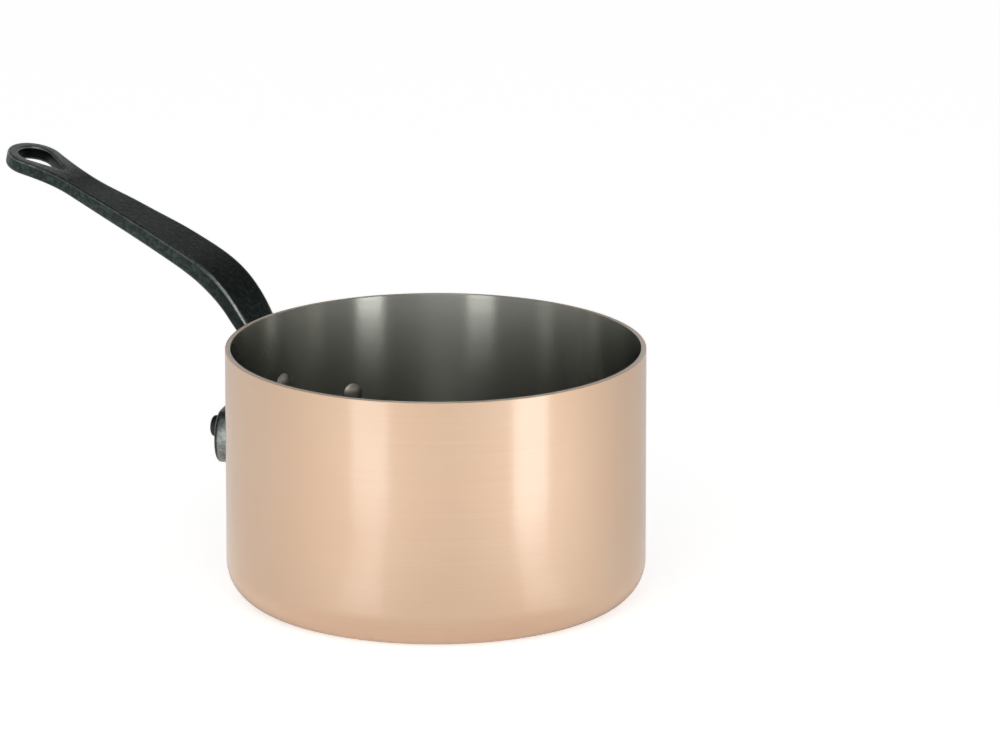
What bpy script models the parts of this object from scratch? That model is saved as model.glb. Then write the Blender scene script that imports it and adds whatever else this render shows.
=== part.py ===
"""Copper saucepan with a stainless lining and a riveted cast-iron handle.

A straight-sided copper body is lined with a thin sheet of stainless steel. The handle is one
casting: a foot with two ears that follows the wall, a strap that rises and bends away from
it, and a hanging eye. Three steel rivets go through lining, copper and foot.

Metres, +Z up, the origin at the centre of the base's underside, the handle along +X.
"""
import math

import bmesh
import bpy
from mathutils import Vector
from mathutils.geometry import interpolate_bezier

# Body
OUTER_DIAMETER = 0.205
HEIGHT = 0.125
COPPER_THICKNESS = 0.0019
LINING_THICKNESS = 0.0004
BOND_GAP = 0.0002           # the real layers are rolled together, these meshes stay apart
CORNER_RADIUS = 0.019       # outside, where the base turns up into the wall
RIM_ROUNDING = 0.0005
BODY_STEPS = 96
CORNER_STEPS = 6

# Rivets
SHANK_RADIUS = 0.003
SHANK_CLEARANCE = 0.0003
SEAT_GAP = 0.0003           # between any head or foot and what it is pressed against
INNER_HEAD_RADIUS = 0.0052
INNER_HEAD_HEIGHT = 0.0017
OUTER_HEAD_RADIUS = 0.0053
OUTER_HEAD_HEIGHT = 0.0046
OUTER_HEAD_ROUNDING = 0.0018
RIVET_STEPS = 24
DOME_STEPS = 4
MIDDLE_RIVET_DEPTH = 0.0365     # below the rim
SIDE_RIVET_DEPTH = 0.0487
SIDE_RIVET_ANGLE = math.radians(24.5)

# Foot of the handle, flattened: depths are below the rim, offsets along the wall
FOOT_THICKNESS = 0.0073
EAR_RADIUS = 0.0135
EAR_OUT = 0.001             # from a side rivet to the centre of its ear, away from the strap
EAR_DOWN = 0.0038
EAR_JOIN_BELOW = math.radians(-110)
EAR_JOIN_ABOVE = math.radians(85)
EAR_STEPS = 14
ARCH_BELOW_RIVET = 0.0145   # middle rivet to the foot's lower edge
FOOT_MARGIN = 0.004         # the flattened handle starts this far below the ears
SHOULDER_BELOW_RIVET = 0.0035
CROTCH_ABOVE_RIVET = 0.0105     # where the strap's upper face leaves the wall
HEEL_ABOVE_RIVET = 0.0005       # where its underside leaves the foot
SPOT_FACE_CLEARANCE = 0.0006

# Strap: reach from the wall, height above the rim, slope in degrees, thickness, half width
NECK_UNDER_REACH = 0.0103
NECK_UNDER_HEIGHT = -0.025
NECK_UNDER_SLOPE = 68
NECK_FACE_REACH = 0.003
NECK_FACE_HEIGHT = -0.0195
NECK_FACE_SLOPE = 53
STRAP_STATIONS = (
    (0.0172, -0.0006, 50.5, 0.0092, 0.0115),
    (0.0340, 0.0144, 31.8, 0.0098, 0.0123),
    (0.0645, 0.0265, 18, 0.0089, 0.0122),
    (0.0995, 0.0363, 15.8, 0.0083, 0.0104),
    (0.1326, 0.0449, 17.5, 0.0072, 0.0090),
    (0.1777, 0.0563, 14, 0.0076, 0.0090),
)
STRAP_SIDE_REACH = 0.0104   # half width where the foot's outline becomes the strap's side
STRAP_SIDE_DEPTH = 0.012
FACE_ARRIS = 0.0013
UNDER_ROUNDING = 0.003
RING_ROUNDING_SHARE = 0.44  # of the eye's ring, the most that its rounding takes from each side
PLATE_THICKNESS = 0.009     # of the flattened handle, before it takes its own thicknesses
ARRIS_STEPS = 2
UNDER_STEPS = 3
RUN_STEPS = 8
STRAP_CUTS = 44
FOOT_CUT_WIDTH = 0.0068

# Hanging eye
EYE_RADIUS = 0.0142
EYE_JOIN = math.radians(106)
EYE_RING_WIDTH = 0.0055
EYE_TIP_RADIUS = 0.0015
EYE_TIP_DISTANCE = 0.0185
EYE_STEPS = 14
TIP_STEPS = 3

MERGE = 0.000002


def clear_scene():
    """Start from an empty file."""
    for old in list(bpy.data.objects):
        bpy.data.objects.remove(old, do_unlink=True)


def metal(name, colour, roughness):
    """A Principled metal."""
    material = bpy.data.materials.new(name)
    material.use_nodes = True
    shader = material.node_tree.nodes["Principled BSDF"]
    shader.inputs["Base Color"].default_value = (*colour, 1.0)
    shader.inputs["Roughness"].default_value = roughness
    shader.inputs["Metallic"].default_value = 1.0
    return material


def finish_object(name, bm, material, smooth_angle=math.radians(35)):
    """Turn a bmesh into a linked object with its material and smooth shading."""
    bmesh.ops.remove_doubles(bm, verts=bm.verts, dist=MERGE)
    bmesh.ops.recalc_face_normals(bm, faces=bm.faces)
    mesh = bpy.data.meshes.new(name)
    bm.to_mesh(mesh)
    bm.free()
    mesh.shade_smooth()
    mesh.set_sharp_from_angle(angle=smooth_angle)
    piece = bpy.data.objects.new(name, mesh)
    if material:
        piece.data.materials.append(material)
    bpy.context.scene.collection.objects.link(piece)
    return piece


def arc(centre, radius, start, end, steps):
    """Points along a circular arc, both ends included."""
    points = []
    for step in range(steps + 1):
        angle = start + (end - start) * step / steps
        points.append(Vector((centre[0] + radius * math.cos(angle), centre[1] + radius * math.sin(angle))))
    return points


def run(start, start_direction, end, end_direction, steps=RUN_STEPS):
    """Points of one smooth run between two places, without the first."""
    reach = (end - start).length / 3
    first = start + start_direction.normalized() * reach
    second = end - end_direction.normalized() * reach
    return [point.to_2d() for point in interpolate_bezier(start, first, second, end, steps + 1)[1:]]


def slope_direction(degrees):
    """Unit direction in the handle's side view."""
    angle = math.radians(degrees)
    return Vector((math.cos(angle), math.sin(angle)))


def turned(name, profile, steps, material):
    """Spin a (radius, height) profile once round Z."""
    bm = bmesh.new()
    verts = [bm.verts.new((radius, 0, height)) for radius, height in profile]
    edges = [bm.edges.new(pair) for pair in zip(verts, verts[1:])]
    bmesh.ops.spin(bm, geom=verts + edges, cent=(0, 0, 0), axis=(0, 0, 1), dvec=(0, 0, 0),
                   angle=2 * math.pi, steps=steps, use_duplicate=False)
    return finish_object(name, bm, material)


def layer(name, outer_offset, thickness, rounding, material):
    """One sheet of the body, from its depth below the pan's outer surface and its thickness."""
    inner_offset = outer_offset + thickness
    outer = OUTER_DIAMETER / 2 - outer_offset
    inner = OUTER_DIAMETER / 2 - inner_offset
    outer_corner = CORNER_RADIUS - outer_offset
    inner_corner = CORNER_RADIUS - inner_offset
    profile = [Vector((0, outer_offset))]
    profile += arc((outer - outer_corner, CORNER_RADIUS), outer_corner, -math.pi / 2, 0, CORNER_STEPS)
    profile += arc((outer - rounding, HEIGHT - rounding), rounding, 0, math.pi / 2, 2) if rounding \
        else [Vector((outer, HEIGHT))]
    profile.append(Vector((inner, HEIGHT)))
    profile += arc((inner - inner_corner, CORNER_RADIUS), inner_corner, 0, -math.pi / 2, CORNER_STEPS)
    profile.append(Vector((0, inner_offset)))
    return turned(name, profile, BODY_STEPS, material)


def wall_inside():
    """Radius of the lining's inner face."""
    return OUTER_DIAMETER / 2 - COPPER_THICKNESS - BOND_GAP - LINING_THICKNESS


def foot_face():
    """Radius of the foot's face that lies against the wall."""
    return OUTER_DIAMETER / 2 + SEAT_GAP


def sagitta(radius, half_width):
    """How far a curved face falls away from a flat one across a width."""
    return radius - math.sqrt(radius ** 2 - half_width ** 2)


def rivet_places():
    """Name, angle round the pan and depth below the rim of each rivet."""
    return (
        ("rivet_left", SIDE_RIVET_ANGLE, SIDE_RIVET_DEPTH),
        ("rivet_middle", 0.0, MIDDLE_RIVET_DEPTH),
        ("rivet_right", -SIDE_RIVET_ANGLE, SIDE_RIVET_DEPTH),
    )


def aim_outwards(piece, angle, depth):
    """Stand a piece made along Z on the pan's axis, pointing out through the wall."""
    outwards = Vector((math.cos(angle), math.sin(angle), 0))
    piece.rotation_mode = "QUATERNION"
    piece.rotation_quaternion = outwards.to_track_quat("Z", "Y")
    piece.location = (0, 0, HEIGHT - depth)


def rivet(name, angle, depth, material):
    """A domed head inside, a shank, and a hammered button outside."""
    inner_seat = wall_inside() - sagitta(wall_inside(), INNER_HEAD_RADIUS) - SEAT_GAP
    outer_seat = foot_face() + FOOT_THICKNESS + SEAT_GAP
    dome_radius = (INNER_HEAD_RADIUS ** 2 + INNER_HEAD_HEIGHT ** 2) / (2 * INNER_HEAD_HEIGHT)
    dome_centre = inner_seat - INNER_HEAD_HEIGHT + dome_radius
    dome_end = math.asin(INNER_HEAD_RADIUS / dome_radius) - math.pi / 2
    profile = arc((0, dome_centre), dome_radius, -math.pi / 2, dome_end, DOME_STEPS)
    profile.append(Vector((SHANK_RADIUS, inner_seat)))
    profile.append(Vector((SHANK_RADIUS, outer_seat)))
    profile.append(Vector((OUTER_HEAD_RADIUS, outer_seat)))
    button_top = outer_seat + OUTER_HEAD_HEIGHT
    profile += arc((OUTER_HEAD_RADIUS - OUTER_HEAD_ROUNDING, button_top - OUTER_HEAD_ROUNDING),
                   OUTER_HEAD_ROUNDING, 0, math.pi / 2, DOME_STEPS)
    profile.append(Vector((0, button_top)))
    piece = turned(name, profile, RIVET_STEPS, material)
    aim_outwards(piece, angle, depth)
    return piece


def cutter(name, radius, start, end, angle, depth):
    """A hidden cylinder that cuts along a rivet's axis, from one radius to another."""
    profile = [Vector((0, start)), Vector((radius, start)), Vector((radius, end)), Vector((0, end))]
    tool = turned(name, profile, RIVET_STEPS, None)
    aim_outwards(tool, angle, depth)
    tool.hide_render = True
    tool.display_type = "WIRE"
    return tool


def cut(piece, tool):
    """Take a cutter away from a piece."""
    modifier = piece.modifiers.new(tool.name, "BOOLEAN")
    modifier.operation = "DIFFERENCE"
    modifier.solver = "EXACT"
    modifier.object = tool


def foot_run():
    """Depth below the rim at which the flattened handle starts."""
    return SIDE_RIVET_DEPTH + EAR_DOWN + EAR_RADIUS + FOOT_MARGIN


def rails():
    """The strap's upper face and underside in side view, sampled at matching places.

    Also gives the distance along the upper face at each sample, and at each strap station.
    """
    wall = OUTER_DIAMETER / 2
    under_foot = foot_face() + FOOT_THICKNESS
    shoulder = -(MIDDLE_RIVET_DEPTH + SHOULDER_BELOW_RIVET)
    face_rows = [
        (Vector((foot_face(), -foot_run())), 90),
        (Vector((foot_face(), shoulder)), 90),
        (Vector((foot_face(), CROTCH_ABOVE_RIVET - MIDDLE_RIVET_DEPTH)), 90),
        (Vector((wall + NECK_FACE_REACH, NECK_FACE_HEIGHT)), NECK_FACE_SLOPE),
    ]
    under_rows = [
        (Vector((under_foot, -foot_run())), 90),
        (Vector((under_foot, shoulder)), 90),
        (Vector((under_foot, HEEL_ABOVE_RIVET - MIDDLE_RIVET_DEPTH)), 90),
        (Vector((wall + NECK_UNDER_REACH, NECK_UNDER_HEIGHT)), NECK_UNDER_SLOPE),
    ]
    for reach, height, slope, thickness, _ in STRAP_STATIONS:
        along = slope_direction(slope)
        face = Vector((wall + reach, height))
        face_rows.append((face, slope))
        under_rows.append((face + Vector((along.y, -along.x)) * thickness, slope))
    face_line = [face_rows[0][0]]
    under_line = [under_rows[0][0]]
    for line, rows in ((face_line, face_rows), (under_line, under_rows)):
        for (start, start_slope), (end, end_slope) in zip(rows, rows[1:]):
            line += run(start, slope_direction(start_slope), end, slope_direction(end_slope))
    distances = [0.0]
    for a, b in zip(face_line, face_line[1:]):
        distances.append(distances[-1] + (b - a).length)
    first_station = len(face_rows) - len(STRAP_STATIONS)
    stations = [distances[(first_station + i) * RUN_STEPS] for i in range(len(STRAP_STATIONS))]
    return face_line, under_line, distances, stations


def foot_outline():
    """Half of the foot's edge, from the middle of its arch round an ear to the strap."""
    start = foot_run()
    arch = Vector((start - MIDDLE_RIVET_DEPTH - ARCH_BELOW_RIVET, 0))
    ear = Vector((start - SIDE_RIVET_DEPTH - EAR_DOWN, SIDE_RIVET_ANGLE * OUTER_DIAMETER / 2 + EAR_OUT))
    lobe = []
    for point in arc((ear.y, ear.x), EAR_RADIUS, EAR_JOIN_BELOW, EAR_JOIN_ABOVE, EAR_STEPS):
        lobe.append(Vector((point.y, point.x)))
    below = Vector((math.cos(EAR_JOIN_BELOW), -math.sin(EAR_JOIN_BELOW)))
    above = Vector((math.cos(EAR_JOIN_ABOVE), -math.sin(EAR_JOIN_ABOVE)))
    side = Vector((start - STRAP_SIDE_DEPTH, STRAP_SIDE_REACH))
    points = [arch] + run(arch, Vector((0, 1)), lobe[0], below) + lobe[1:]
    return points + run(lobe[-1], above, side, Vector((1, -0.05)))


def strap_outline(first, stations):
    """Half widths along the strap, from the foot's last point to the neck of the eye."""
    places = [first]
    for distance, station in zip(stations[:-1], STRAP_STATIONS):
        places.append(Vector((distance, station[4])))
    directions = [Vector((1, -0.05))]
    for before, after in zip(places, places[2:]):
        directions.append(after - before)
    directions.append(Vector((1, 0)))
    points = []
    for i in range(len(places) - 1):
        points += run(places[i], directions[i], places[i + 1], directions[i + 1], 3)
    return points


def eye_outline(neck, end):
    """Half of the eye's outer edge and of its teardrop hole, back to the hole's tip."""
    centre = (end - EYE_RADIUS, 0)
    hole_radius = EYE_RADIUS - EYE_RING_WIDTH
    ring = arc(centre, EYE_RADIUS, EYE_JOIN, 0, EYE_STEPS)
    flare = Vector((math.sin(EYE_JOIN), -math.cos(EYE_JOIN)))
    turn = math.pi - math.acos((hole_radius - EYE_TIP_RADIUS) / EYE_TIP_DISTANCE)
    hole = arc(centre, hole_radius, 0, turn, EYE_STEPS)
    tip = arc((centre[0] - EYE_TIP_DISTANCE, 0), EYE_TIP_RADIUS, turn, math.pi, TIP_STEPS)
    return run(neck, Vector((1, 0)), ring[0], flare) + ring[1:] + hole + tip


def on_middle(edge):
    """Whether an edge lies along the handle's middle plane."""
    return all(abs(vert.co.y) < MERGE for vert in edge.verts)


def flat_handle(outline):
    """The flattened handle: half an outline made a plate, its edges rounded, then mirrored."""
    bm = bmesh.new()
    face = bm.faces.new([bm.verts.new((point.x, max(point.y, 0.0), 0)) for point in outline])
    swept = bmesh.ops.extrude_face_region(bm, geom=[face], use_keep_orig=True)
    lower = [item for item in swept["geom"] if isinstance(item, bmesh.types.BMVert)]
    bmesh.ops.translate(bm, verts=lower, vec=(0, 0, -PLATE_THICKNESS))
    middle = [side for side in bm.faces if all(abs(vert.co.y) < MERGE for vert in side.verts)]
    bmesh.ops.delete(bm, geom=middle, context="FACES")
    bmesh.ops.recalc_face_normals(bm, faces=bm.faces)
    under = min(UNDER_ROUNDING, EYE_RING_WIDTH * RING_ROUNDING_SHARE)
    for height, width, steps in ((0, FACE_ARRIS, ARRIS_STEPS), (-PLATE_THICKNESS, under, UNDER_STEPS)):
        rim = [edge for edge in bm.edges if not on_middle(edge)
               and all(abs(vert.co.z - height) < MERGE for vert in edge.verts) and len(edge.link_faces) == 2]
        bmesh.ops.bevel(bm, geom=rim, offset=width, offset_type="OFFSET", segments=steps,
                        profile=0.5, affect="EDGES", clamp_overlap=False)
    bmesh.ops.mirror(bm, geom=bm.verts[:] + bm.edges[:] + bm.faces[:], axis="Y", merge_dist=MERGE)
    bmesh.ops.recalc_face_normals(bm, faces=bm.faces)
    return bm


def slice_plate(bm, length, half_width):
    """Cut the plate across and along, so that it can bend."""
    for i in range(1, STRAP_CUTS):
        place = Vector((length * i / STRAP_CUTS, 0, 0))
        bmesh.ops.bisect_plane(bm, geom=bm.verts[:] + bm.edges[:] + bm.faces[:], dist=MERGE,
                               plane_co=place, plane_no=(1, 0, 0))
    lanes = int(half_width / FOOT_CUT_WIDTH)
    for lane in range(-lanes, lanes + 1):
        bmesh.ops.bisect_plane(bm, geom=bm.verts[:] + bm.edges[:] + bm.faces[:], dist=MERGE,
                               plane_co=(0, lane * FOOT_CUT_WIDTH, 0), plane_no=(0, 1, 0))


def bend_plate(bm, face_line, under_line, distances):
    """Carry the flat plate onto its two rails, and wrap the foot round the wall."""
    wall = OUTER_DIAMETER / 2
    leave = foot_run() - MIDDLE_RIVET_DEPTH + CROTCH_ABOVE_RIVET
    for vert in bm.verts:
        along, across, share = vert.co.x, vert.co.y, -vert.co.z / PLATE_THICKNESS
        i = 1
        while i < len(distances) - 1 and distances[i] < along:
            i += 1
        step = (along - distances[i - 1]) / (distances[i] - distances[i - 1])
        face = face_line[i - 1].lerp(face_line[i], step)
        under = under_line[i - 1].lerp(under_line[i], step)
        radius, height = face.lerp(under, share)
        wrap = min(1.0, max(0.0, 1 - (along - leave) / (foot_run() - leave)))
        wrap = wrap * wrap * (3 - 2 * wrap)
        angle = across / wall
        x = radius - wrap * radius * (1 - math.cos(angle))
        y = across + wrap * (radius * math.sin(angle) - across)
        vert.co = (x, y, HEIGHT + height)


def handle(material):
    """The one-piece casting."""
    face_line, under_line, distances, stations = rails()
    outline = foot_outline()
    outline += strap_outline(outline[-1], stations)
    outline += eye_outline(outline[-1], stations[-1])
    bm = flat_handle(outline)
    slice_plate(bm, stations[-1], max(point.y for point in outline))
    bend_plate(bm, face_line, under_line, distances)
    return finish_object("handle", bm, material)


def main():
    """Build every piece."""
    clear_scene()
    copper = metal("brushed_copper", (0.82, 0.50, 0.36), 0.3)
    steel = metal("brushed_stainless", (0.62, 0.61, 0.58), 0.25)
    iron = metal("cast_iron", (0.04, 0.05, 0.05), 0.5)
    rivet_steel = metal("rivet_steel", (0.35, 0.35, 0.34), 0.35)

    shell = layer("copper_shell", 0, COPPER_THICKNESS, RIM_ROUNDING, copper)
    lining = layer("steel_lining", COPPER_THICKNESS + BOND_GAP, LINING_THICKNESS, 0, steel)
    casting = handle(iron)

    hole = SHANK_RADIUS + SHANK_CLEARANCE
    outer_face = foot_face() + FOOT_THICKNESS
    well_outside = OUTER_DIAMETER
    for name, angle, depth in rivet_places():
        rivet(name, angle, depth, rivet_steel)
        drill = cutter(f"{name}_hole", hole, wall_inside() - INNER_HEAD_RADIUS, well_outside, angle, depth)
        for piece in (shell, lining, casting):
            cut(piece, drill)
    spot_face = cutter("rivet_middle_seat", OUTER_HEAD_RADIUS + SPOT_FACE_CLEARANCE, outer_face,
                       well_outside, 0.0, MIDDLE_RIVET_DEPTH)
    cut(casting, spot_face)


main()
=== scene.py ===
"""Dress the packed saucepan: brushed copper, brushed stainless, blackened cast iron and rivet steel.

Laid out as an add-on and run as a script. Metres, +Z up, the handle along +X.
"""
import math

import bpy
from mathutils import Matrix, Vector
from mathutils.geometry import interpolate_bezier


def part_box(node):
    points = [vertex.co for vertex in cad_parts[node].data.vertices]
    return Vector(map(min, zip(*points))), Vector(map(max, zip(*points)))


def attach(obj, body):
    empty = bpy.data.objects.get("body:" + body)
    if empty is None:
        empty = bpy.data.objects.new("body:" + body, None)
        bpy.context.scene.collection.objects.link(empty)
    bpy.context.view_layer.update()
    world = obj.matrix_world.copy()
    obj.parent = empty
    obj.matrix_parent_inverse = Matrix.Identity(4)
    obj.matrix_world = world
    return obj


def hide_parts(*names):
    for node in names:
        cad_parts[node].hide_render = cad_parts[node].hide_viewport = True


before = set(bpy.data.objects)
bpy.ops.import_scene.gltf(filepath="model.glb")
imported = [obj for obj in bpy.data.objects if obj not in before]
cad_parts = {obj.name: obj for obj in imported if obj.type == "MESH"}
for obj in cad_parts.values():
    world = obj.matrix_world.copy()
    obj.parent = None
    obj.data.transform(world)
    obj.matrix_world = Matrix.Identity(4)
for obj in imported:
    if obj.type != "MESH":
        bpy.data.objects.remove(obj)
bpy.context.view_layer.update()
SHELL_LOW, SHELL_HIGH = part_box("copper_shell")

bl_info = {
    "name": "Riveted copper saucepan",
    "version": (1, 0, 0),
    "blender": (4, 5, 0),
    "location": "View3D > Sidebar > Saucepan",
    "description": "Builds a lined copper saucepan with a cast-iron handle, and a pale studio round it",
    "category": "Add Mesh",
}

# Handle in side view: reach from the wall, height above the rim, slope in degrees.
# A station of the strap also has its thickness and its half width.
NECK_FACE = (0.0030, -0.0195, 53)
NECK_UNDER = (0.0103, -0.0250, 68)
STRAP_STATIONS = (
    (0.0172, -0.0006, 50.5, 0.0092, 0.0115),
    (0.0340, 0.0144, 31.8, 0.0098, 0.0123),
    (0.0645, 0.0265, 18, 0.0089, 0.0122),
    (0.0995, 0.0363, 15.8, 0.0083, 0.0104),
    (0.1326, 0.0449, 17.5, 0.0072, 0.0090),
    (0.1777, 0.0563, 14, 0.0076, 0.0090),
)
UPRIGHT = 90

# The foot against the wall, measured from the middle rivet
SHOULDER_BELOW_RIVET = 0.0035       # both of its faces stand straight up to here
HEEL_ABOVE_RIVET = 0.0005           # where the underside leaves the foot
CROTCH_ABOVE_RIVET = 0.0105         # where the upper face leaves the wall
SEAT_GAP = 0.0003                   # between the foot and the wall
PLATE_THICKNESS = 0.009             # of the flat casting, before it takes the strap's own

# Outline of the flat casting
FOOT_MARGIN = 0.004                 # it starts this far below the ears
EAR_JOIN_BELOW = math.radians(-110)
EAR_JOIN_ABOVE = math.radians(85)
ROOT_DIRECTION = Vector((1, -0.05))
EYE_JOIN = math.radians(106)

# How finely each shape is stepped
CORNER_STEPS = 16
RIM_STEPS = 3
BASE_RINGS = (0.25, 0.35)           # shares of the radius by which the base is inset, twice
RUN_STEPS = 20
EAR_STEPS = 26
STRAP_STEPS = 6
INTO_EYE_STEPS = 12
EYE_STEPS = 24
TIP_STEPS = 6
ARRIS_STEPS = 4
UNDER_STEPS = 5
ARRIS_INSET = 0.8                   # width of the face's border, as a share of the arris
CASTING_ROWS = 110
CASTING_LANE = 0.0034
RIVET_STEPS = 48
DOME_STEPS = 12
BUTTON_STEPS = 10

LINING_RIM = 0.25                   # rounding of the lining's rim, as a share of its thickness
SHANK_SINK = 0.0004                 # how deep in the wall the shank starts, under its inner head
SMOOTH_ANGLE = math.radians(32)
LEVEL = 0.999                       # a face is level from this Z of its normal on
MERGE = 0.000002                    # places nearer than this are one place

# How far the blacking is rubbed, and where highlights and shade are painted: 1 is bare iron, 0 as it came,
# -1 the darkest iron.
# A share is added where hands wear the blacking and where highlights are painted, and taken off where shade
# is painted.
ARRIS_WEAR_AND_HIGHLIGHT = 0.45
HOLE_ARRIS_WEAR_AND_HIGHLIGHT = 0.6
BESIDE_ARRIS_WEAR_AND_HIGHLIGHT = 0.5
EYE_RUB_AND_HIGHLIGHT = 0.9
FOOT_SIDE_HIGHLIGHT = 0.75
FOOT_ARRIS_SHADE = 1.3
NECK_SIDE_SHADE = 0.6
HOLE_SHADE = 1
EYE_REACH = 0.045                    # from the handle's tip, where hands and hooks rub and a highlight is painted
NECK_REACH = 0.035                   # along the neck, from the foot: a painted highlight on its arris, painted shade on its sides
MARK_FADE = 0.02
NECK_FADE = 0.04
RIVET_FADE = 0.002                  # from the wall out to where the rivets are fully black

# Scales of the patterns, in repeats a metre: 1000 over the size in mm.
# Real brush lines are near 0.05 mm apart, finer than a pixel, so they are drawn coarser.
COPPER_LINES = 1400                 # 0.7 mm from line to line
COPPER_DRIFT = 9                    # 110 mm along a line
STEEL_LINES = 1800                  # 0.56 mm from line to line
STEEL_DRIFT = 6                     # 170 mm along a line
COPPER_CLOUDS = 16                  # 63 mm, where the brush pressed more or less
IRON_GRAIN = 700                    # 1.4 mm swells of the mould's sand, with grains down to 0.1 mm
IRON_PATCHES = 420                  # 2.4 mm, where the blacking took unevenly
RIVET_DENTS = 420                   # 2.4 mm, the hammer's facets

# The card as the metal shows it, with painted light: a painted shadow under the pan and painted warm copper
# light beside it. Distance from the centre, and colour there
CARD_PAINTED_LIGHT = (
    (0.102, (0.20, 0.17, 0.14)),
    (0.118, (1.18, 1.04, 0.96)),
    (0.140, (1.14, 1.06, 1.00)),
    (0.175, (1.00, 1.00, 1.00)),
)
CARD_REACH = 1.0                    # distance at the ramp's end
GLOW_SHIFT = 0.02                   # from the pan's axis back to that centre, so it is darker behind
CARD_BEHIND = 1.2                   # how fast the card dims going back, 1 being how fast to the right
FLOOR_SIZE = 8

# Upright strips beside the camera, and the streaks of light that they leave on the card
STRIP_DISTANCE = 0.28
STRIP_WIDTH = 0.085
STRIP_TOP = 0.18
LEFT_STRIP_LOW = 0.03
RIGHT_STRIP_LOW = 0.015
STREAK_DISTANCE = 0.3
STREAK_HEIGHT = 0.002
STREAK_SIZE = (0.05, 0.3)

# Sockets of a Mix node that mixes colours
MIX_A = 6
MIX_B = 7
MIX_RESULT = 2


def linear(hex_colour):
    """An sRGB hex colour as linear RGB."""
    parts = []
    for start in (0, 2, 4):
        share = int(hex_colour[start:start + 2], 16) / 255
        parts.append(share / 12.92 if share <= 0.04045 else ((share + 0.055) / 1.055) ** 2.4)
    return tuple(parts)


def colour_property(name, description, hex_colour):
    """A colour in the panel."""
    return bpy.props.FloatVectorProperty(name=name, description=description, subtype="COLOR", size=3,
                                         min=0, max=1, default=linear(hex_colour))


def length_property(name, description, default):
    """A length in the panel."""
    return bpy.props.FloatProperty(name=name, description=description, default=default, precision=4,
                                   unit="LENGTH", subtype="DISTANCE")


def angle_property(name, description, degrees):
    """An angle in the panel."""
    return bpy.props.FloatProperty(name=name, description=description, default=math.radians(degrees),
                                   subtype="ANGLE", unit="ROTATION")


def brightness_property(name, default):
    """How bright a lamp looks, in the panel."""
    return bpy.props.FloatProperty(name=name, description="White is 1", default=default, min=0)


class PanSizes(bpy.types.PropertyGroup):
    """The copper body and its lining."""
    diameter: length_property("Outside diameter", "Across the copper wall", SHELL_HIGH.x - SHELL_LOW.x)
    height: length_property("Height", "From the base to the rim", SHELL_HIGH.z - SHELL_LOW.z)
    copper: length_property("Copper", "Thickness of the copper", 0.0020)
    steel: length_property("Lining", "Thickness of the stainless lining", 0.0005)
    corner: length_property("Corner", "Outside radius where the base turns up into the wall", 0.019)
    rim: length_property("Rim rounding", "How far the cut rim is broken", 0.0004)
    steps: bpy.props.IntProperty(name="Steps round", description="Faces round the wall", default=192, min=48)


class RivetSizes(bpy.types.PropertyGroup):
    """Three rivets: a low dome inside, a hammered button outside."""
    shank: length_property("Shank", "Radius of the shank", 0.003)
    inner_radius: length_property("Inner head", "Radius of the dome inside the pan", 0.0052)
    inner_height: length_property("Inner head height", "How far the dome stands off the lining", 0.0017)
    outer_radius: length_property("Outer head", "Radius of the button outside", 0.0053)
    outer_height: length_property("Outer head height", "How far the button stands off the foot", 0.0046)
    outer_rounding: length_property("Outer head rounding", "Radius of the button's shoulder", 0.0018)
    side_angle: angle_property("Side rivets", "Angle round the pan from the handle", 24.5)
    middle_depth: length_property("Middle rivet", "Depth below the rim", 0.0365)
    side_depth: length_property("Side rivets' depth", "Depth below the rim", 0.0487)


class HandleSizes(bpy.types.PropertyGroup):
    """The one-piece casting, apart from its side view."""
    foot: length_property("Foot", "Thickness of the foot against the wall", 0.0073)
    ear: length_property("Ear", "Radius of each ear", 0.0135)
    ear_out: length_property("Ear out", "From a side rivet to its ear's centre, outwards", 0.001)
    ear_down: length_property("Ear down", "From a side rivet to its ear's centre, downwards", 0.0038)
    arch: length_property("Arch", "From the middle rivet to the foot's lower edge", 0.0145)
    root_width: length_property("Root", "Half width where the foot becomes the strap", 0.0104)
    root_depth: length_property("Root depth", "Depth below the rim of that place", 0.012)
    eye: length_property("Eye", "Outside radius of the hanging eye", 0.0142)
    ring: length_property("Ring", "Width of the eye's ring", 0.0055)
    tip: length_property("Tip", "Rounding at the point of the eye's hole", 0.0015)
    tip_distance: length_property("Tip distance", "From the eye's centre to that point", 0.0185)
    arris: length_property("Arris", "Rounding of the upper edges", 0.0013)
    under: length_property("Under", "Rounding of the lower edges", 0.0024)


class Finishes(bpy.types.PropertyGroup):
    """Colours of the four metals."""
    copper: colour_property("Copper", "Satin-brushed copper", "C8AF97")
    copper_warm: colour_property("Warm copper", "Where the brushing is a little warmer", "C8AC92")
    steel: colour_property("Stainless", "Brushed stainless lining", "A9A9A3")
    steel_streak: colour_property("Stainless streaks", "The darker lines of its brushing", "96978F")
    iron: colour_property("Cast iron", "Blackened cast iron", "293230")
    iron_worn: colour_property("Worn iron", "Where hands have rubbed the blacking thin", "424A47")
    # Bare iron also colours the painted highlights along the handle's edges
    iron_bare_and_highlight: colour_property("Bare iron", "Edges where the blacking is rubbed through", "9A9F9C")
    # Painted shade: the darkest iron, beside the neck, inside the eye's hole and on the foot's arris by the
    # wall
    iron_painted_shade: colour_property("Thick blacking", "In the eye's hole and beside the neck", "0E1211")
    rivet: colour_property("Rivet steel", "Plain rivet steel, on the heads inside", "A5A198")
    # The heads outside are given a darker colour than those inside
    rivet_outside_dark: colour_property("Blackened rivet", "Heads outside, black like the handle", "343A39")


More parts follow.
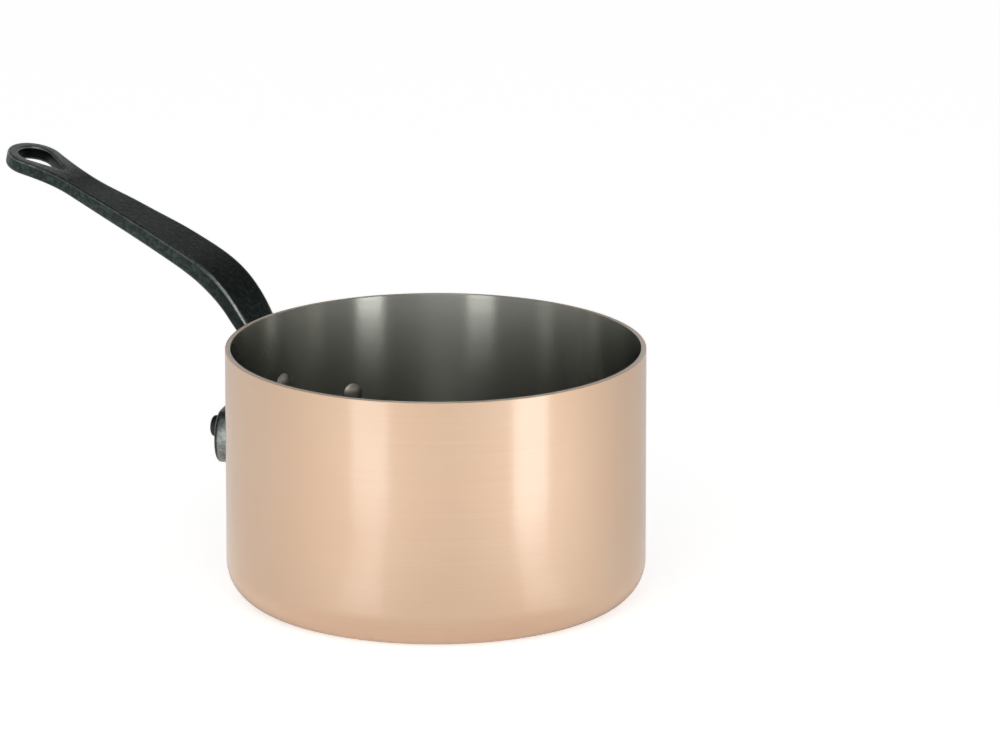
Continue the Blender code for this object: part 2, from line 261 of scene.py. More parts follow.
class StudioSettings(bpy.types.PropertyGroup):
    """Camera and lamps."""
    azimuth: angle_property("Handle turn", "How far the handle points away from the camera", 49.18)
    elevation: angle_property("Elevation", "Camera above the horizon", 15.36)
    distance: length_property("Distance", "Camera to the pan", 4.8955)
    aim_right: length_property("Aim right", "Middle of the view, right of the pan's axis", 0.03125)
    aim_up: length_property("Aim up", "Middle of the view, above the base", 0.10682)
    lens: bpy.props.FloatProperty(name="Lens", description="Focal length", default=360, unit="CAMERA")
    left_turn: angle_property("Left softbox", "How far round from the camera", -29.2)
    left_radiance: brightness_property("Left brightness", 3.3)
    left_floor: brightness_property("Left streak", 1.7)
    right_turn: angle_property("Right softbox", "How far round from the camera", 43.7)
    right_radiance: brightness_property("Right brightness", 4.9)
    right_floor: brightness_property("Right streak", 1.5)
    front_turn: angle_property("Front softbox", "How far round from the camera", -8)
    front_radiance: brightness_property("Front brightness", 2.6)
    overhead_radiance: brightness_property("Overhead brightness", 3.0)


def clamp(share):
    """Keep a share between 0 and 1."""
    return min(1.0, max(0.0, share))


def arc(centre, radius, start, end, steps):
    """Points along a circular arc, both ends included."""
    points = []
    for step in range(steps + 1):
        angle = start + (end - start) * step / steps
        points.append(Vector((centre[0] + radius * math.cos(angle), centre[1] + radius * math.sin(angle))))
    return points


def run(start, start_direction, end, end_direction, steps=RUN_STEPS):
    """Points of one smooth run between two places, without the first."""
    reach = (end - start).length / 3
    first = start + start_direction.normalized() * reach
    second = end - end_direction.normalized() * reach
    return [point.to_2d() for point in interpolate_bezier(start, first, second, end, steps + 1)[1:]]


def slope_direction(degrees):
    """Unit direction in the handle's side view."""
    angle = math.radians(degrees)
    return Vector((math.cos(angle), math.sin(angle)))


def select(piece, kind, test):
    """Select just the vertices, edges or polygons of a piece that pass a test, and stay in edit mode."""
    bpy.ops.object.mode_set(mode="EDIT")
    bpy.ops.mesh.select_mode(type={"vertices": "VERT", "edges": "EDGE", "polygons": "FACE"}[kind])
    bpy.ops.mesh.select_all(action="DESELECT")
    bpy.ops.object.mode_set(mode="OBJECT")
    found = 0
    for item in getattr(piece.data, kind):
        item.select = bool(test(item))
        found += item.select
    if found == 0:
        raise RuntimeError(f"no {kind} of {piece.name} pass the test")
    bpy.ops.object.mode_set(mode="EDIT")


def all_of(piece, test):
    """A test of an edge or face by all its vertices' places."""
    return lambda item: all(test(piece.data.vertices[i].co) for i in item.vertices)


def new_piece(name):
    """Name the object just added, and give its mesh the same name."""
    piece = bpy.context.object
    piece.name = name
    piece.data.name = name
    return piece


def only(piece):
    """Make one object the selected and active one."""
    bpy.ops.object.select_all(action="DESELECT")
    piece.select_set(True)
    bpy.context.view_layer.objects.active = piece


def applied(piece, kind, **settings):
    """Add a modifier with its settings and apply it."""
    only(piece)
    modifier = piece.modifiers.new(kind.title(), kind)
    for name, value in settings.items():
        setattr(modifier, name, value)
    bpy.ops.object.modifier_apply(modifier=modifier.name)


def trace(name, points):
    """Draw a line by extruding one vertex from point to point, and stay in edit mode with all selected."""
    bpy.ops.mesh.primitive_plane_add(size=0.001, location=(0, 0, 0))
    piece = new_piece(name)
    bpy.ops.object.mode_set(mode="EDIT")
    bpy.ops.mesh.select_mode(type="VERT")
    bpy.ops.mesh.select_all(action="SELECT")
    bpy.ops.mesh.merge(type="CENTER")
    bpy.ops.transform.translate(value=points[0])
    for here, there in zip(points, points[1:]):
        bpy.ops.mesh.extrude_vertices_move(TRANSFORM_OT_translate={"value": there - here})
    bpy.ops.mesh.select_all(action="SELECT")
    return piece


def finish_piece(piece, material, node):
    """Smooth a piece, give it its material, and hand it to the frame."""
    bpy.ops.object.mode_set(mode="OBJECT")
    only(piece)
    bpy.ops.object.shade_smooth_by_angle(angle=SMOOTH_ANGLE)
    piece.data.materials.clear()
    piece.data.materials.append(material)
    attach(piece, "root")
    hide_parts(node)


def bowl(name, sizes, outer_offset, thickness, rim):
    """A straight-sided bowl: a cylinder with its bottom edge bevelled, opened and given its wall."""
    radius = sizes.diameter / 2 - outer_offset
    depth = sizes.height - outer_offset
    bpy.ops.mesh.primitive_cylinder_add(vertices=sizes.steps, radius=radius, depth=depth,
                                        location=(0, 0, outer_offset + depth / 2))
    piece = new_piece(name)
    bpy.ops.object.transform_apply(location=True, rotation=True, scale=True)
    select(piece, "edges", all_of(piece, lambda co: co.z < outer_offset + MERGE))
    bpy.ops.mesh.bevel(offset=sizes.corner - outer_offset, segments=CORNER_STEPS, profile=0.5,
                       affect="EDGES")
    select(piece, "polygons", lambda face: face.normal.z < -LEVEL and len(face.vertices) == sizes.steps)
    for share in BASE_RINGS:
        bpy.ops.mesh.inset(thickness=radius * share)
    select(piece, "polygons", lambda face: face.normal.z > LEVEL)
    bpy.ops.mesh.delete(type="FACE")
    bpy.ops.object.mode_set(mode="OBJECT")
    applied(piece, "SOLIDIFY", thickness=thickness, offset=-1, use_even_offset=True)
    middle = radius - thickness / 2
    on_rim = all_of(piece, lambda co: co.z > sizes.height - MERGE)
    rim_rings = (all_of(piece, lambda co: co.to_2d().length > middle),
                 all_of(piece, lambda co: co.to_2d().length < middle))
    select(piece, "edges", lambda edge: on_rim(edge) and any(ring(edge) for ring in rim_rings))
    bpy.ops.mesh.bevel(offset=rim, segments=RIM_STEPS, profile=0.5, affect="EDGES")
    bpy.ops.object.mode_set(mode="OBJECT")
    return piece


def rivet_places(rivets):
    """Name, angle round the pan and depth below the rim of each rivet."""
    return (
        ("rivet_left", rivets.side_angle, rivets.side_depth),
        ("rivet_middle", 0.0, rivets.middle_depth),
        ("rivet_right", -rivets.side_angle, rivets.side_depth),
    )


def rivet_profile(pan, rivets, hand):
    """Half of a rivet's outline: radius, and distance out from the pan's axis."""
    inside = pan.diameter / 2 - pan.copper - pan.steel
    seat = pan.diameter / 2 + hand.foot
    top = seat + rivets.outer_height
    dome_radius = (rivets.inner_radius ** 2 + rivets.inner_height ** 2) / (2 * rivets.inner_height)
    dome_end = math.asin(rivets.inner_radius / dome_radius) - math.pi / 2
    dome_centre = (0, inside - rivets.inner_height + dome_radius)
    points = arc(dome_centre, dome_radius, -math.pi / 2, dome_end, DOME_STEPS)
    points.append(Vector((rivets.shank, inside + SHANK_SINK)))
    points.append(Vector((rivets.shank, seat)))
    points.append(Vector((rivets.outer_radius, seat)))
    shoulder = (rivets.outer_radius - rivets.outer_rounding, top - rivets.outer_rounding)
    points += arc(shoulder, rivets.outer_rounding, 0, math.pi / 2, BUTTON_STEPS)
    points.append(Vector((0, top)))
    return points


def aim_outwards(piece, angle, height):
    """Turn a piece made along Z to point out through the wall, and bake its place."""
    outwards = Vector((math.cos(angle), math.sin(angle), 0))
    turn = outwards.to_track_quat("Z", "Y").to_matrix().to_4x4()
    piece.data.transform(Matrix.Translation((0, 0, height)) @ turn)


def foot_run(rivets, hand):
    """Depth below the rim at which the flat casting starts."""
    return rivets.side_depth + hand.ear_down + hand.ear + FOOT_MARGIN


def rails(pan, rivets, hand):
    """The handle's upper face and underside in side view, and distances along the face.

    Also gives the distance of each strap station.
    """
    wall = pan.diameter / 2
    seat = wall + SEAT_GAP
    start = foot_run(rivets, hand)
    shoulder = -(rivets.middle_depth + SHOULDER_BELOW_RIVET)
    face_rows = [
        (Vector((seat, -start)), UPRIGHT),
        (Vector((seat, shoulder)), UPRIGHT),
        (Vector((seat, CROTCH_ABOVE_RIVET - rivets.middle_depth)), UPRIGHT),
        (Vector((wall + NECK_FACE[0], NECK_FACE[1])), NECK_FACE[2]),
    ]
    under_rows = [
        (Vector((seat + hand.foot, -start)), UPRIGHT),
        (Vector((seat + hand.foot, shoulder)), UPRIGHT),
        (Vector((seat + hand.foot, HEEL_ABOVE_RIVET - rivets.middle_depth)), UPRIGHT),
        (Vector((wall + NECK_UNDER[0], NECK_UNDER[1])), NECK_UNDER[2]),
    ]
    for reach, height, slope, thickness, _ in STRAP_STATIONS:
        along = slope_direction(slope)
        face = Vector((wall + reach, height))
        face_rows.append((face, slope))
        under_rows.append((face + Vector((along.y, -along.x)) * thickness, slope))
    face_line = [face_rows[0][0]]
    under_line = [under_rows[0][0]]
    for line, rows in ((face_line, face_rows), (under_line, under_rows)):
        for (here, here_slope), (there, there_slope) in zip(rows, rows[1:]):
            line += run(here, slope_direction(here_slope), there, slope_direction(there_slope))
    distances = [0.0]
    for a, b in zip(face_line, face_line[1:]):
        distances.append(distances[-1] + (b - a).length)
    first = len(face_rows) - len(STRAP_STATIONS)
    stations = [distances[(first + i) * RUN_STEPS] for i in range(len(STRAP_STATIONS))]
    return face_line, under_line, distances, stations


def half_outline(pan, rivets, hand, stations):
    """Half of the flat casting's edge: arch, ear, strap side, eye, and the eye's hole."""
    start = foot_run(rivets, hand)
    arch = Vector((start - rivets.middle_depth - hand.arch, 0))
    ear = Vector((start - rivets.side_depth - hand.ear_down,
                  rivets.side_angle * pan.diameter / 2 + hand.ear_out))
    # Drawn with its axes swapped, so that the ear's angles count from straight out to the side
    ear_arc = arc((ear.y, ear.x), hand.ear, EAR_JOIN_BELOW, EAR_JOIN_ABOVE, EAR_STEPS)
    lobe = [Vector((point.y, point.x)) for point in ear_arc]
    into_ear = Vector((math.cos(EAR_JOIN_BELOW), -math.sin(EAR_JOIN_BELOW)))
    out_of_ear = Vector((math.cos(EAR_JOIN_ABOVE), -math.sin(EAR_JOIN_ABOVE)))
    side = Vector((start - hand.root_depth, hand.root_width))
    points = [arch]
    points += run(arch, Vector((0, 1)), lobe[0], into_ear)
    points += lobe[1:]
    points += run(lobe[-1], out_of_ear, side, ROOT_DIRECTION)

    places = [side]
    for distance, station in zip(stations[:-1], STRAP_STATIONS):
        places.append(Vector((distance, station[4])))
    directions = [ROOT_DIRECTION]
    for before, after in zip(places, places[2:]):
        directions.append(after - before)
    directions.append(Vector((1, 0)))
    for i in range(len(places) - 1):
        points += run(places[i], directions[i], places[i + 1], directions[i + 1], STRAP_STEPS)

    centre = (stations[-1] - hand.eye, 0)
    ring = arc(centre, hand.eye, EYE_JOIN, 0, EYE_STEPS)
    hole_radius = hand.eye - hand.ring
    turn = math.pi - math.acos((hole_radius - hand.tip) / hand.tip_distance)
    into_eye = Vector((math.sin(EYE_JOIN), -math.cos(EYE_JOIN)))
    points += run(points[-1], Vector((1, 0)), ring[0], into_eye, INTO_EYE_STEPS)
    points += ring[1:]
    points += arc(centre, hole_radius, 0, turn, EYE_STEPS)
    points += arc((centre[0] - hand.tip_distance, 0), hand.tip, turn, math.pi, TIP_STEPS)
    for point in (points[0], ring[-1], points[-1]):
        point.y = 0
    return points


def flat_casting(points, hand):
    """The casting laid flat: its outline filled, thickened, its edges rounded, and mirrored."""
    piece = trace("cast_handle", [point.to_3d() for point in points])
    bpy.ops.mesh.edge_face_add()
    bpy.ops.mesh.extrude_region_move(TRANSFORM_OT_translate={"value": (0, 0, -PLATE_THICKNESS)})
    select(piece, "polygons", all_of(piece, lambda co: abs(co.y) < MERGE))
    bpy.ops.mesh.delete(type="FACE")
    bpy.ops.mesh.select_all(action="SELECT")
    bpy.ops.mesh.normals_make_consistent(inside=False)
    middle = all_of(piece, lambda co: abs(co.y) < MERGE)
    for level, width, segments in (
            (0, hand.arris, ARRIS_STEPS),
            (-PLATE_THICKNESS, hand.under, UNDER_STEPS)):
        on_level = all_of(piece, lambda co: abs(co.z - level) < MERGE)
        select(piece, "edges", lambda edge: on_level(edge) and not middle(edge))
        bpy.ops.mesh.bevel(offset=width, segments=segments, profile=0.5, affect="EDGES",
                           clamp_overlap=False)
    bpy.ops.object.mode_set(mode="OBJECT")
    applied(piece, "MIRROR", use_axis=(False, True, False), use_clip=True, merge_threshold=MERGE)
    select(piece, "polygons", all_of(piece, lambda co: abs(co.z) < MERGE))
    bpy.ops.mesh.inset(thickness=hand.arris * ARRIS_INSET)
    bpy.ops.object.mode_set(mode="OBJECT")
    return piece


def slice_casting(piece, length, half_width):
    """Cut the flat casting into narrow rows and lanes, so that it bends smoothly."""
    only(piece)
    bpy.ops.object.mode_set(mode="EDIT")
    for i in range(1, CASTING_ROWS):
        bpy.ops.mesh.select_all(action="SELECT")
        bpy.ops.mesh.bisect(plane_co=(length * i / CASTING_ROWS, 0, 0), plane_no=(1, 0, 0), threshold=MERGE)
    count = int(half_width / CASTING_LANE)
    for i in range(-count, count + 1):
        bpy.ops.mesh.select_all(action="SELECT")
        bpy.ops.mesh.bisect(plane_co=(0, i * CASTING_LANE, 0), plane_no=(0, 1, 0), threshold=MERGE)
    bpy.ops.object.mode_set(mode="OBJECT")


def mark_wear_and_light(piece, hand, foot_end, length):
    """Note on the flat casting how far its blacking is rubbed, and where highlights and shade are painted.

    The arris is rubbed most, with a painted highlight, then the eye, with one too. The foot's side gets a
    painted highlight; the eye's hole, the sides of the neck and the foot's arris by the wall get painted
    shade.
    """
    verts = piece.data.vertices
    depths = [-vert.co.z for vert in verts]
    beside = set()
    for edge in piece.data.edges:
        for here, there in (edge.vertices, reversed(edge.vertices)):
            if depths[here] < MERGE < depths[there] < hand.arris - MERGE:
                beside.add(here)
    # The attribute holds wear and painted light: wear and painted highlights above 0, painted shade below 0.
    rubbed = piece.data.attributes.new("rubbed", "FLOAT", "POINT")
    hole_radius = hand.eye - hand.ring + MERGE
    hole_start = length - hand.eye - hand.tip_distance - hand.tip - MERGE
    hole_end = length - hand.ring + MERGE
    for vert, depth in zip(verts, depths):
        on_eye = clamp((vert.co.x - length + EYE_REACH) / MARK_FADE)
        on_foot = clamp((foot_end - vert.co.x) / MARK_FADE)
        on_neck = clamp(1 - (vert.co.x - foot_end - NECK_REACH) / NECK_FADE) - on_foot
        in_hole = hole_start < vert.co.x < hole_end and abs(vert.co.y) < hole_radius
        share = 0
        if depth < MERGE:
            # Face: wear and a painted highlight beside the arris and on the eye
            share = max(EYE_RUB_AND_HIGHLIGHT * on_eye, BESIDE_ARRIS_WEAR_AND_HIGHLIGHT if vert.index in beside else 0)
        elif MERGE < depth < hand.arris - MERGE and in_hole:
            # Arris of the eye's hole: wear and a painted highlight
            share = HOLE_ARRIS_WEAR_AND_HIGHLIGHT
        elif MERGE < depth < hand.arris - MERGE:
            # Arris: wear and a painted highlight, brightest along the neck and eye; painted shade on the
            # foot by the wall
            share = max(ARRIS_WEAR_AND_HIGHLIGHT, on_neck, EYE_RUB_AND_HIGHLIGHT * on_eye) - FOOT_ARRIS_SHADE * on_foot
        elif depth < PLATE_THICKNESS - hand.under + MERGE and in_hole:
            # Inside the eye's hole: painted shade
            share = -HOLE_SHADE
        elif depth < PLATE_THICKNESS - hand.under + MERGE:
            # Sides: a painted highlight on the foot, painted shade on the neck
            share = FOOT_SIDE_HIGHLIGHT * on_foot - NECK_SIDE_SHADE * on_neck
        rubbed.data[vert.index].value = share


def bend_casting(piece, pan, rivets, hand, lines):
    """Carry the flat casting onto its two rails, and wrap the foot round the wall."""
    face_line, under_line, distances, _ = lines
    wall = pan.diameter / 2
    start = foot_run(rivets, hand)
    leave = start - rivets.middle_depth + CROTCH_ABOVE_RIVET
    mark_wear_and_light(piece, hand, leave, distances[-1])
    for vert in piece.data.vertices:
        along, across, share = vert.co.x, vert.co.y, -vert.co.z / PLATE_THICKNESS
        i = 1
        while i < len(distances) - 1 and distances[i] < along:
            i += 1
        step = (along - distances[i - 1]) / (distances[i] - distances[i - 1])
        face = face_line[i - 1].lerp(face_line[i], step)
        under = under_line[i - 1].lerp(under_line[i], step)
        radius, height = face.lerp(under, share)
        # The foot follows the wall's curve, which fades smoothly into the straight strap
        wrap = clamp(1 - (along - leave) / (start - leave))
        wrap = wrap * wrap * (3 - 2 * wrap)
        angle = across / wall
        x = radius - wrap * radius * (1 - math.cos(angle))
        y = across + wrap * (radius * math.sin(angle) - across)
        vert.co = (x, y, pan.height + height)


def add_node(tree, kind, settings=None, links=None):
    """Add a node, set its properties and inputs, and link its inputs from other sockets."""
    item = tree.nodes.new(kind)
    for name, value in (settings or {}).items():
        if isinstance(name, int) or name in item.inputs:
            item.inputs[name].default_value = value
        else:
            setattr(item, name, value)
    for name, socket in (links or {}).items():
        tree.links.new(socket, item.inputs[name])
    return item


def new_material(name):
    """A node material, its tree and its Principled shader."""
    material = bpy.data.materials.new(name)
    material.use_nodes = True
    tree = material.node_tree
    return material, tree, tree.nodes["Principled BSDF"]


def turned_coordinates(tree, lines_per_metre, drift):
    """Object coordinates for marks that run round the pan, from the wall across the base."""
    place = add_node(tree, "ShaderNodeTexCoord").outputs["Object"]
    parts = add_node(tree, "ShaderNodeSeparateXYZ", links={"Vector": place})
    flat = add_node(tree, "ShaderNodeCombineXYZ", links={"X": parts.outputs["X"], "Y": parts.outputs["Y"]})
    radius = add_node(tree, "ShaderNodeVectorMath", {"operation": "LENGTH"}, {0: flat.outputs[0]})
    along = add_node(tree, "ShaderNodeMath", {"operation": "ADD"}, {
        0: radius.outputs["Value"], 1: parts.outputs["Z"]})
    line = add_node(tree, "ShaderNodeMath", {"operation": "MULTIPLY", 1: lines_per_metre}, {
        0: along.outputs[0]})
    across = add_node(tree, "ShaderNodeVectorMath", {"operation": "SCALE", "Scale": drift}, {
        0: flat.outputs[0]})
    rest = add_node(tree, "ShaderNodeSeparateXYZ", links={"Vector": across.outputs[0]})
    return add_node(tree, "ShaderNodeCombineXYZ", links={
        "X": rest.outputs["X"], "Y": rest.outputs["Y"], "Z": line.outputs[0]}).outputs[0]


def brushed_copper(finish):
    """Copper sheet, brushed round the wall and lacquered."""
    # To the eye: a soft, warm glow from the brushing, under the lacquer's clearer bands of white
    material, tree, shader = new_material("lacquered_brushed_copper")
    shader.inputs["Metallic"].default_value = 1
    shader.inputs["Anisotropic"].default_value = 0.3
    shader.inputs["Coat Weight"].default_value = 0.8
    shader.inputs["Coat IOR"].default_value = 1.6
    shader.inputs["Coat Roughness"].default_value = 0.17
    fine = add_node(tree, "ShaderNodeTexNoise", {"Scale": 1, "Detail": 3, "Roughness": 0.6}, {
        "Vector": turned_coordinates(tree, COPPER_LINES, COPPER_DRIFT)})
    place = add_node(tree, "ShaderNodeTexCoord").outputs["Object"]
    cloud = add_node(tree, "ShaderNodeTexNoise", {"Scale": COPPER_CLOUDS, "Detail": 2}, {"Vector": place})
    tone = add_node(tree, "ShaderNodeMapRange", {"From Min": 0.35, "From Max": 0.7}, {
        "Value": cloud.outputs["Fac"]})
    colour = add_node(tree, "ShaderNodeMix", {
        "data_type": "RGBA", MIX_A: (*finish.copper, 1), MIX_B: (*finish.copper_warm, 1)}, {
        0: tone.outputs[0]})
    tree.links.new(colour.outputs[MIX_RESULT], shader.inputs["Base Color"])
    dull = add_node(tree, "ShaderNodeMapRange", {"To Min": 0.66, "To Max": 0.74}, {
        "Value": fine.outputs["Fac"]})
    tree.links.new(dull.outputs[0], shader.inputs["Roughness"])
    bump = add_node(tree, "ShaderNodeBump", {"Strength": 0.10, "Distance": 0.0002}, {
        "Height": fine.outputs["Fac"]})
    tree.links.new(bump.outputs[0], shader.inputs["Normal"])
    sheen = add_node(tree, "ShaderNodeBump", {"Strength": 0.5, "Distance": 0.0002}, {
        "Height": fine.outputs["Fac"]})
    tree.links.new(sheen.outputs[0], shader.inputs["Coat Normal"])
    round_it = add_node(tree, "ShaderNodeTangent", {"direction_type": "RADIAL", "axis": "Z"})
    tree.links.new(round_it.outputs[0], shader.inputs["Tangent"])
    return material


def brushed_stainless(finish):
    """Stainless sheet, brushed round and round."""
    # To the eye: a fan of light on the floor that turns with the view, and soft upright bands on the wall
    material, tree, shader = new_material("brushed_stainless")
    shader.inputs["Metallic"].default_value = 1
    shader.inputs["Anisotropic"].default_value = 0.85
    shader.inputs["Anisotropic Rotation"].default_value = 0.25
    fine = add_node(tree, "ShaderNodeTexNoise", {"Scale": 1, "Detail": 3, "Roughness": 0.6}, {
        "Vector": turned_coordinates(tree, STEEL_LINES, STEEL_DRIFT)})
    colour = add_node(tree, "ShaderNodeMix", {
        "data_type": "RGBA", MIX_A: (*finish.steel, 1), MIX_B: (*finish.steel_streak, 1)}, {
        0: fine.outputs["Fac"]})
    tree.links.new(colour.outputs[MIX_RESULT], shader.inputs["Base Color"])
    dull = add_node(tree, "ShaderNodeMapRange", {"To Min": 0.19, "To Max": 0.24}, {
        "Value": fine.outputs["Fac"]})
    tree.links.new(dull.outputs[0], shader.inputs["Roughness"])
    bump = add_node(tree, "ShaderNodeBump", {"Strength": 0.03, "Distance": 0.0002}, {
        "Height": fine.outputs["Fac"]})
    tree.links.new(bump.outputs[0], shader.inputs["Normal"])
    round_it = add_node(tree, "ShaderNodeTangent", {"direction_type": "RADIAL", "axis": "Z"})
    tree.links.new(round_it.outputs[0], shader.inputs["Tangent"])
    return material


def cast_iron(finish):
    """Iron cast in sand, and blackened."""
    # To the eye: a fine even grain with a satin shine, paler along the edges that hands have rubbed and
    # where highlights are painted, darker where shade is painted
    material, tree, shader = new_material("blackened_cast_iron")
    shader.inputs["Metallic"].default_value = 1
    place = add_node(tree, "ShaderNodeTexCoord").outputs["Object"]
    grain = add_node(tree, "ShaderNodeTexNoise", {"Scale": IRON_GRAIN, "Detail": 4, "Roughness": 0.65}, {
        "Vector": place})
    patch = add_node(tree, "ShaderNodeTexNoise", {"Scale": IRON_PATCHES, "Detail": 4, "Roughness": 0.6}, {
        "Vector": place})
    worn = add_node(tree, "ShaderNodeMapRange", {"From Min": 0.42, "From Max": 0.66}, {
        "Value": patch.outputs["Fac"]})
    colour = add_node(tree, "ShaderNodeMix", {
        "data_type": "RGBA", MIX_A: (*finish.iron, 1), MIX_B: (*finish.iron_worn, 1)}, {
        0: worn.outputs[0]})
    # The attribute brings wear and painted highlights toward bare iron, and painted shade toward the darkest
    # iron
    edge = add_node(tree, "ShaderNodeAttribute", {"attribute_name": "rubbed"}).outputs["Fac"]
    uneven = add_node(tree, "ShaderNodeMapRange", {
        "From Min": 0.35, "From Max": 0.6, "To Min": 0.6, "To Max": 1}, {"Value": patch.outputs["Fac"]})
    rub = add_node(tree, "ShaderNodeMath", {"operation": "MULTIPLY"}, {0: edge, 1: uneven.outputs[0]})
    shade_share = add_node(tree, "ShaderNodeMapRange", {"From Min": 0, "From Max": -1}, {"Value": edge})
    painted_shade = add_node(tree, "ShaderNodeMix", {"data_type": "RGBA", MIX_B: (*finish.iron_painted_shade, 1)}, {
        0: shade_share.outputs[0], MIX_A: colour.outputs[MIX_RESULT]})
    worn_and_highlit = add_node(tree, "ShaderNodeMix", {"data_type": "RGBA", MIX_B: (*finish.iron_bare_and_highlight, 1)}, {
        0: rub.outputs[0], MIX_A: painted_shade.outputs[MIX_RESULT]})
    tree.links.new(worn_and_highlit.outputs[MIX_RESULT], shader.inputs["Base Color"])
    dull = add_node(tree, "ShaderNodeMapRange", {"To Min": 0.30, "To Max": 0.44}, {
        "Value": grain.outputs["Fac"]})
    tree.links.new(dull.outputs[0], shader.inputs["Roughness"])
    bump = add_node(tree, "ShaderNodeBump", {"Strength": 0.5, "Distance": 0.0004}, {
        "Height": grain.outputs["Fac"]})
    tree.links.new(bump.outputs[0], shader.inputs["Normal"])
    return material


def rivet_steel(finish):
    """Plain rivet steel, hammered, and darker outside the wall."""
    # To the eye: smooth with a few soft dents, bright inside the pan and dark on the foot
    material, tree, shader = new_material("hammered_rivet_steel")
    shader.inputs["Metallic"].default_value = 1
    place = add_node(tree, "ShaderNodeTexCoord").outputs["Object"]
    parts = add_node(tree, "ShaderNodeSeparateXYZ", links={"Vector": place})
    flat = add_node(tree, "ShaderNodeCombineXYZ", links={"X": parts.outputs["X"], "Y": parts.outputs["Y"]})
    radius = add_node(tree, "ShaderNodeVectorMath", {"operation": "LENGTH"}, {0: flat.outputs[0]})
    outside = add_node(tree, "ShaderNodeMapRange", {
        "From Min": SHELL_HIGH.x, "From Max": SHELL_HIGH.x + RIVET_FADE}, {
        "Value": radius.outputs["Value"]})
    colour = add_node(tree, "ShaderNodeMix", {
        "data_type": "RGBA", MIX_A: (*finish.rivet, 1), MIX_B: (*finish.rivet_outside_dark, 1)}, {
        0: outside.outputs[0]})
    tree.links.new(colour.outputs[MIX_RESULT], shader.inputs["Base Color"])
    dents = add_node(tree, "ShaderNodeTexNoise", {"Scale": RIVET_DENTS, "Detail": 2}, {"Vector": place})
    dull = add_node(tree, "ShaderNodeMapRange", {"To Min": 0.36, "To Max": 0.52}, {
        "Value": dents.outputs["Fac"]})
    tree.links.new(dull.outputs[0], shader.inputs["Roughness"])
    bump = add_node(tree, "ShaderNodeBump", {"Strength": 0.3, "Distance": 0.0004}, {
        "Height": dents.outputs["Fac"]})
    tree.links.new(bump.outputs[0], shader.inputs["Normal"])
    return material


def backdrop_rays(tree):
    """Whether a ray comes straight from the camera, and whether by way of metal or glass."""
    path = add_node(tree, "ShaderNodeLightPath")
    mirrored = add_node(tree, "ShaderNodeMath", {"operation": "MAXIMUM"}, {
        0: path.outputs["Is Glossy Ray"], 1: path.outputs["Is Transmission Ray"]})
    return path.outputs["Is Camera Ray"], mirrored.outputs[0]


def white_floor(right, away):
    """Matt white card: white to the camera and in the metal, with the pan's faint shadow.

    In the metal it has painted light: it is dimmer to the right and behind, has a painted shadow
    under the pan, and is warm beside it with painted light, the light that the copper throws there.
    """
    material, tree, shader = new_material("white_card")
    shader.inputs["Base Color"].default_value = (0.8, 0.8, 0.8, 1)
    shader.inputs["Roughness"].default_value = 0.9
    straight, mirrored = backdrop_rays(tree)
    place = add_node(tree, "ShaderNodeTexCoord").outputs["Object"]
    around = add_node(tree, "ShaderNodeVectorMath", {"operation": "SUBTRACT", 1: away * GLOW_SHIFT}, {
        0: place})
    radius = add_node(tree, "ShaderNodeVectorMath", {"operation": "LENGTH"}, {0: around.outputs[0]})
    reach = add_node(tree, "ShaderNodeMapRange", {"From Max": CARD_REACH}, {
        "Value": radius.outputs["Value"]})
    # The ramp paints a shadow under the pan and the copper's warm light into what the metal shows
    ramp = add_node(tree, "ShaderNodeValToRGB", links={"Fac": reach.outputs[0]})
    for distance, colour in CARD_PAINTED_LIGHT:
        ramp.color_ramp.elements.new(distance / CARD_REACH).color = (*colour, 1)
    colour = add_node(tree, "ShaderNodeMix", {"data_type": "RGBA", MIX_B: (1, 1, 1, 1)}, {
        0: straight, MIX_A: ramp.outputs["Color"]})
    tree.links.new(colour.outputs[MIX_RESULT], shader.inputs["Emission Color"])
    # Painted falloff: in the metal the card dims to the right and behind
    sideways = add_node(tree, "ShaderNodeVectorMath", {
        "operation": "DOT_PRODUCT", 1: right + away * CARD_BEHIND}, {0: place})
    graded = add_node(tree, "ShaderNodeMapRange", {
        "From Min": -0.3, "From Max": 0.3, "To Min": 0.78, "To Max": 0.42}, {
        "Value": sideways.outputs["Value"]})
    in_metal = add_node(tree, "ShaderNodeMath", {"operation": "MULTIPLY"}, {
        0: graded.outputs[0], 1: mirrored})
    to_camera = add_node(tree, "ShaderNodeMapRange", {"To Max": 0.7}, {"Value": straight})
    both = add_node(tree, "ShaderNodeMath", {"operation": "ADD"}, {
        0: in_metal.outputs[0], 1: to_camera.outputs[0]})
    tree.links.new(both.outputs[0], shader.inputs["Emission Strength"])
    return material


